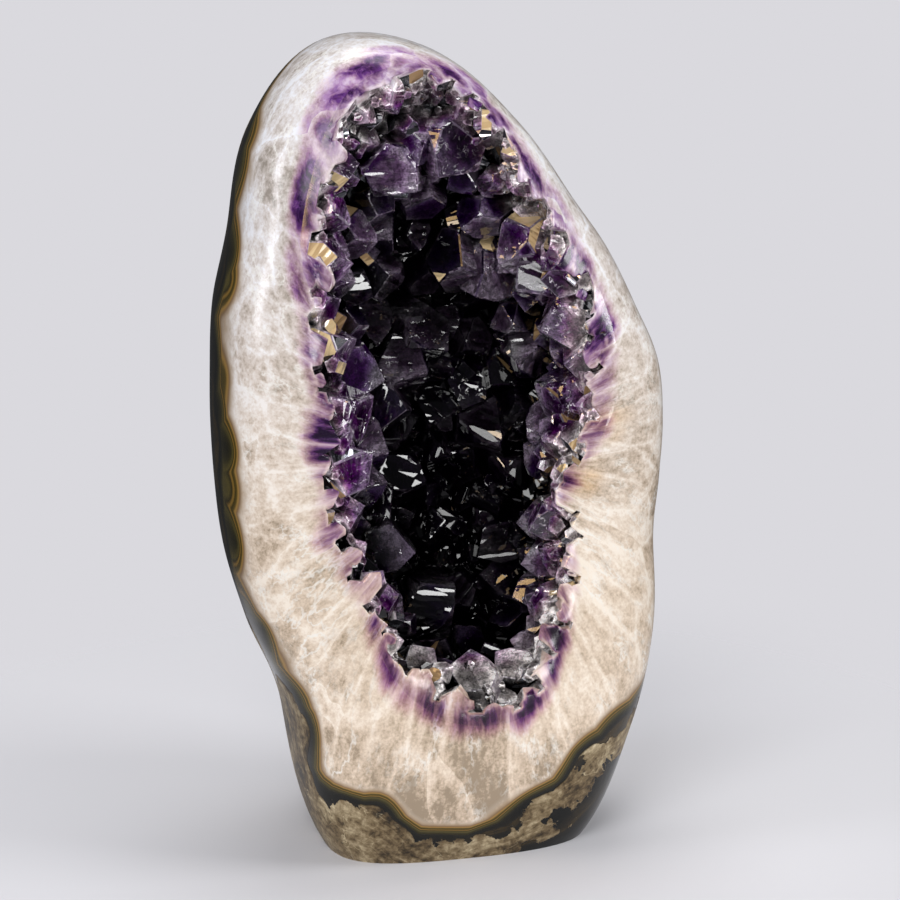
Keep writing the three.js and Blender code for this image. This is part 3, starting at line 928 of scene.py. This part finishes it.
def banded_quartz():
    """Polished geode stone: milky quartz that runs out from the hollow in fine rays, thin ochre
    lines, a dark agate rind and tan basalt outside it."""
    material = bpy.data.materials.new("milky_quartz_polished")
    tree = emptied(material)
    add = tree.add
    place = add("TexCoord").outputs["Object"]
    x, y, z = add("SeparateXYZ", (place,)).outputs
    rind = add("Attribute", attribute_name="rind_mm").outputs["Fac"]
    quartz, _ = cut_colour(tree)

    lobes = add("TexVoronoi", {"Vector": place, "Scale": 64, "Smoothness": 0.12}, feature="SMOOTH_F1")
    scalloped = add("Math MULTIPLY_ADD", (lobes, 5, rind))
    inward = add("Math SUBTRACT", (scalloped, 2.4))

    # Basalt, and the agate that lies in it in layers
    spread = add("VectorMath SCALE", {0: place, "Scale": 22})
    outermost = add("Math MAXIMUM", (inward, -25))
    layers = add("VectorMath SCALE", {0: (0.16, 0, 0), "Scale": outermost})
    along = add("VectorMath", (spread, layers))
    smear = noise_sum(tree, (place, 75, 5, 0.42), (along, 2.2, 5, 0.3), (place, 520, 3, 0.28))
    basalt = add("ValToRGB", (smear,), stops={
        0.38: "17120a", 0.43: "3c2f1c", 0.47: "5e4d34", 0.51: "7a684b",
        0.55: "938264", 0.6: "b7a686", 0.64: "d0c2a2",
    })
    haze = noise_sum(tree, (along, 0.9, 3, 0.7), (place, 60, 4, 0.3))
    agate = add("ValToRGB", (haze,), stops={
        0.36: "020301", 0.46: "080804", 0.52: "1c160a", 0.58: "382c14", 0.66: "0a0a06",
    })
    ragged = noise_sum(tree, (place, 55, 2, 24), (place, 210, 4, 11))
    upward = add("MapRange", (z, 0.055, 0.11, 0, 8))
    thicker = add("Math", (add("Math", (ragged, inward)), upward))
    in_agate = add("MapRange", (thicker, 12.4, 12.7))
    leftward = add("MapRange", (x, 0, 0.018, 30, 0))
    backward = add("MapRange", (y, -0.005, 0.025, 0, 30))
    far_side = add("Math", (outermost, add("Math", (leftward, backward))))
    outer_edge = add("Math MULTIPLY_ADD", (ragged, 1.2, far_side))
    outer_agate = add("MapRange", (outer_edge, 4.5, 4.8, 1, 0))
    dark = add("Math MAXIMUM", (in_agate, outer_agate))
    veil = veils(tree, place, 60, 0.006)
    veined = add("Mix", {0: veil, 6: basalt, 7: "c8b896"}, **COLOUR)
    outside = add("Mix", {0: dark, 6: veined, 7: agate}, **COLOUR)

    # Thin lines at the rind, and the quartz inside it
    bands = add("MapRange", (inward, -4, 9))
    lines = add("ValToRGB", (bands,), stops={
        0: "050503", 0.11: "14130a", 0.19: "322d14", 0.25: "544a22", 0.275: "2c260e",
        0.3: "8a6a2c", 0.325: "40350f", 0.36: "57481e", 0.39: "a07c40", 0.43: "84694a",
        0.5: "b39c82", 0.66: "d8ccc0",
    })
    past_agate = add("MapRange", (inward, -4.2, -3.4))
    rim = add("Mix", {0: past_agate, 6: outside, 7: lines}, **COLOUR)
    in_quartz = add("MapRange", (inward, 1.4, 5), **SMOOTH)
    skin = add("Mix", {0: in_quartz, 6: rim, 7: quartz}, **COLOUR)

    # The basalt is duller and pitted
    smooth = add("Math MAXIMUM", (dark, past_agate))
    rock = add("Math SUBTRACT", (1, smooth))
    roughness = add("MapRange", (rock, 0, 1, POLISH, 0.45))
    ripple = add("TexNoise", {"Vector": place, "Scale": 420, "Detail": 2})
    relief = add("Math MULTIPLY_ADD", (ripple, 0.1, product(tree, smear, rock)))
    pits = add("Bump", {"Strength": 1, "Distance": 0.0005, "Height": relief})
    shader = add("BsdfPrincipled", {
        "Base Color": skin, "Roughness": roughness, "IOR": QUARTZ_IOR, "Specular IOR Level": 0.35,
        "Normal": pits,
    })
    add("OutputMaterial", {"Surface": shader})
    return material


# The two pieces
def row_shift():
    """How far the egg's own frame lies from the row's, from the CAD body's box."""
    low, high = (np.array(corner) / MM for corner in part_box("geode_body"))
    bearings, sweeps = np.linspace(0, FULL_TURN, 721), np.linspace(0, HALF_TURN, 400)
    skin = egg_point(bearings[None, :], sweeps[:, None]).reshape(-1, 3)
    skin = skin[skin[:, 2] >= 0]
    apart = (low + high) / 2 - (skin.min(0) + skin.max(0)) / 2
    return np.array([*apart[:2], low[2]])


def egg_stone():
    """The egg itself: the skin, cut flat below, with the hollow taken out."""
    tools = ground_block(), hollow_skin("hollow_plug", 0)
    stone = cut(egg_skin("egg_stone"), "DIFFERENCE", tools, "egg_stone")
    mesh = stone.data
    places = vertex_places(mesh)
    store(mesh, rind_mm=inside_rind(places), violet_mm=violet_depth(places),
          edge_mm=np.full(len(places), 10), grain=grain_at(places))
    mesh.polygons.foreach_set("use_smooth", [True] * len(mesh.polygons))
    mesh.set_sharp_from_angle(angle=40 * DEGREE)
    mesh.materials.clear()
    mesh.materials.append(banded_quartz())
    return stone


def scatter(surface, name, marks=None, keep_marks=False):
    """Roots of a set of points on a surface, clear of the marks. The surface is used up."""
    inputs = dict(zip(POINT_INPUTS, POINT_VALUES[name]))
    for key in LENGTHS:
        inputs[key] *= MM
    if marks:
        inputs.update({"Landmarks": marks, "Keep Landmarks": keep_marks})
    run_tree(surface, scatter_tree(), inputs)
    return baked(surface, name + "_roots")


def grow(roots, base, name, finish, shapes):
    """A set of points on their roots, fused with the base. Both are used up."""
    run_tree(roots, growth_tree(), {"Shapes": shapes, "Lining": base, "Finish": finish})
    crust = baked(roots, name + "_points")
    take_away(base)
    return crust


def face_girths(mesh):
    """How far it is round each face, in metres."""
    bm = bmesh.new()
    bm.from_mesh(mesh)
    girths = np.array([face.calc_perimeter() for face in bm.faces])
    bm.free()
    return girths


def refine_cut(mesh):
    """Joins the triangles of each grown face into one face, and halves those of the polished
    cut."""
    bm = bmesh.new()
    bm.from_mesh(mesh)
    ground = bm.faces.layers.int.new("ground")
    for face, kept in zip(bm.faces, on_face(face_middles(mesh))):
        face[ground] = int(kept)
    inner = [edge for edge in bm.edges if all(face[ground] for face in edge.link_faces)]
    bmesh.ops.subdivide_edges(bm, edges=inner, cuts=1)
    flat = [edge for edge in bm.edges if not any(face[ground] for face in edge.link_faces)]
    bmesh.ops.dissolve_limit(bm, angle_limit=FLAT_ANGLE, verts=[], edges=flat)
    bm.faces.layers.int.remove(ground)
    bm.to_mesh(mesh)
    bm.free()


def search_tree(mesh, faces):
    faces = [tuple(face.vertices) for face in faces]
    return BVHTree.FromPolygons([vertex.co for vertex in mesh.vertices], faces)


def edge_distance(mesh, polished):
    """How far each vertex lies from the nearest grown face, in millimetres."""
    tree = search_tree(mesh, [face for face, kept in zip(mesh.polygons, polished) if not kept])
    near = np.zeros(len(mesh.vertices))
    for face, kept in zip(mesh.polygons, polished):
        for index in face.vertices if kept else ():
            near[index] = tree.find_nearest(mesh.vertices[index].co)[3] / MM
    return near


def openness(mesh):
    """Share of rays from each vertex that meet no other face near by; the amethyst paints shade by it.
    """
    tree = search_tree(mesh, mesh.polygons)
    rays = np.random.default_rng(SEED).normal(size=(OPEN_RAYS, 3))
    rays = [Vector(ray) for ray in rays / np.linalg.norm(rays, axis=1, keepdims=True)]
    share = np.zeros(len(mesh.vertices))
    for number, vertex in enumerate(mesh.vertices):
        start = vertex.co + vertex.normal * 0.15 * MM
        share[number] = sum(
            tree.ray_cast(start, ray + vertex.normal, OPEN_REACH * MM)[0] is None for ray in rays
        )
    return share / OPEN_RAYS


def growth_axes(middles, random):
    """Direction of growth at each face, out of the nearest wall, a little astray."""
    across = middles - np.array([AXIS_X, 0, AXIS_Z])
    across[:, 1] = np.maximum(middles[:, 1] - MOUTH_Y, 0)
    axes = -across / np.maximum(np.linalg.norm(across, axis=1, keepdims=True), 1)
    return axes + random.uniform(-0.3, 0.3, axes.shape)


def amethyst_lining(shift):
    """The crust of quartz points all over the hollow's wall, ground off at the mouth."""
    finish = amethyst()
    sharp = point_collection("sharp_points", SHARP_EDGE)
    worn = point_collection("worn_points", WORN_EDGE)
    outer = hollow_skin("lining_outer", -LINING_OVERLAP)
    inner = hollow_skin("lining_inner", LINING_THICKNESS)
    lump(inner.data)
    crust = cut(outer, "DIFFERENCE", [inner], "lining_shell")
    landmarks = landmark_points()
    roots = {"rim": scatter(lining_wall("rim"), "rim", landmarks, True)}
    for name in ("lip", "edge", "crown", "deep"):
        roots[name] = scatter(lining_wall(name), name, roots["rim"])
    take_away(landmarks)
    for name in GROWING_ORDER:
        crust = grow(roots[name], crust, name, finish, worn if name == "rim" else sharp)
    surface = new_thing("surface", crust.data.copy())
    within = inside_hollow(vertex_places(surface.data)) - LINING_THICKNESS
    store(surface.data, growing=(within > 0) & (within < GAP_HEIGHT))
    crust = grow(scatter(surface, "small"), crust, "small", finish, sharp)
    covers = polished_face(), hollow_skin("lining_cover", -LINING_OVERLAP)
    lining = cut(crust, "INTERSECT", covers, "amethyst_lining")

    mesh = lining.data
    refine_cut(mesh)
    places, middles = vertex_places(mesh), face_middles(mesh)
    polished = on_face(middles)
    areas = read_all(mesh.polygons, "area", 1).ravel()
    size = areas / MM ** 2
    random = np.random.default_rng(SEED)
    facet = random.random(len(areas))
    axis = growth_axes(middles, random)
    # Some large grown faces, not deep in the hollow, get a painted tan reflection or painted glints at
    # random
    may_carry = (size > MARKED_FACE) & (depth_at(middles) < TAN_REFLECTION_DEPTH) & ~polished
    chance = np.where(may_carry, random.random(len(areas)), 1)
    store(
        mesh, root_mm=inside_hollow(places), violet_mm=violet_depth(places),
        deep_mm=depth_at(places), edge_mm=edge_distance(mesh, polished), grain=grain_at(places),
        polished=polished, facet=facet, axis=axis, open=openness(mesh),
        slim=(areas < SLIM * face_girths(mesh) ** 2) & ~polished,
        middle=(middles + shift) * MM, span=np.sqrt(areas),
        film=(chance < TAN_REFLECTED) & (size < TAN_REFLECTION_LIMIT),
        silvery=(chance >= TAN_REFLECTED) & (chance < TAN_REFLECTED + GLINT_PAINTED) & (size < GLINT_PAINT_LIMIT),
    )
    mesh.polygons.foreach_set("use_smooth", polished)
    return lining


# Camera, stage and lights
def aim(thing, azimuth, height_angle, distance, target):
    """Puts a thing round a target and turns it there. Azimuth 0 stands in front of the egg and 90
    to its right."""
    azimuth, height_angle = azimuth * DEGREE, height_angle * DEGREE
    thing.location = target + distance * Vector((
        math.sin(azimuth) * math.cos(height_angle),
        -math.cos(azimuth) * math.cos(height_angle),
        math.sin(height_angle),
    ))
    thing.rotation_euler = (target - thing.location).to_track_quat("-Z", "Y").to_euler()


def make_camera():
    data = bpy.data.cameras.new("camera")
    data.sensor_width = SENSOR_WIDTH
    data.lens = SENSOR_WIDTH * CAMERA_DISTANCE / (MM_PER_PIXEL * FRAME_PIXELS)
    camera = new_thing("camera", data)
    aim(camera, CAMERA_AZIMUTH, CAMERA_HEIGHT_ANGLE, CAMERA_DISTANCE * MM, Vector(CAMERA_TARGET) * MM)
    bpy.context.scene.camera = camera


def soft_light(name, azimuth, height_angle, distance, size, radiance, color="ffffff", only=None):
    """A soft panel that faces the egg; radiance is how bright the panel's face looks. A panel for
    one piece only is seen in its gloss and draws no streak on the other."""
    data = bpy.data.lights.new(name, "AREA")
    data.shape = "RECTANGLE"
    data.size, data.size_y = size
    data.energy = radiance * size[0] * size[1] * math.pi
    data.color = linear(color)[:3]
    light = new_thing(name, data)
    aim(light, azimuth, height_angle, distance, Vector((0, 0, 0.13)))
    if only:
        group = bpy.data.collections.new(name + "_lit")
        group.objects.link(only)
        light.light_linking.receiver_collection = group
        light.visible_diffuse = False
    return light


def studio(lining):
    """Pale floor that fades into an even background, and soft lights."""
    world = bpy.data.worlds.new("even_background")
    add = emptied(world).add
    rays = add("LightPath").outputs
    seen, fill, dim = (
        add("Background", (color, strength))
        for color, strength in (("dad9de", 1), ("e6e8ee", 0.25), ("e6e8ee", 0.06))
    )
    mirrored = add("MixShader", (rays["Is Glossy Ray"], fill, dim))
    add("OutputWorld", (add("MixShader", (rays["Is Camera Ray"], mirrored, seen)),))
    bpy.context.scene.world = world

    bm = bmesh.new()
    bmesh.ops.create_circle(bm, cap_ends=True, segments=64, radius=1.2)
    floor = new_thing("floor", mesh_of(bm, "floor"))
    material = bpy.data.materials.new("pale_matt_board")
    add = emptied(material).add
    distance = add("VectorMath LENGTH", (add("TexCoord").outputs["Object"],))
    fade = add("MapRange", (distance, 0.09, 0.27), **SMOOTH)
    board = add("BsdfPrincipled", {"Base Color": "e6e5e9", "Roughness": 0.9})
    mixed = add("MixShader", (fade, board, add("BsdfTransparent")))
    add("OutputMaterial", (mixed,))
    floor.data.materials.append(material)

    soft_light("key_left", -88, 16, 1.3, (0.3, 0.75), 6.0, "f6f8ff")
    soft_light("front_soft", -35, 35, 1.5, (0.8, 0.65), 5.5)
    soft_light("right_soft", 66, 26, 1.5, (0.6, 0.6), 8.2)
    soft_light("top_soft", 160, 70, 1.5, (0.8, 0.8), 4.0)
    soft_light("low_soft", 0, 0, 1.8, (1.0, 1.0), 3.5).visible_glossy = False
    soft_light("warm_card", -62, 26, 1.1, (0.6, 0.6), 11.0, "d8b27c", lining)
    for number, (azimuth, height_angle) in enumerate(GLINTS):
        soft_light(f"glint_{number}", azimuth, height_angle, 1.1, (0.16, 0.16), 12.0, only=lining)
    bpy.context.scene.view_settings.view_transform = "Standard"


shift = row_shift()
stone = egg_stone()
lining = amethyst_lining(shift)
for piece, node, slot in (
    (stone, "geode_body", "banded_quartz"),
    (lining, "crystal_crust", "amethyst"),
):
    set_places(piece.data, vertex_places(piece.data) + shift)
    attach(piece, "root")
    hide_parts(node)

make_camera()
studio(lining)
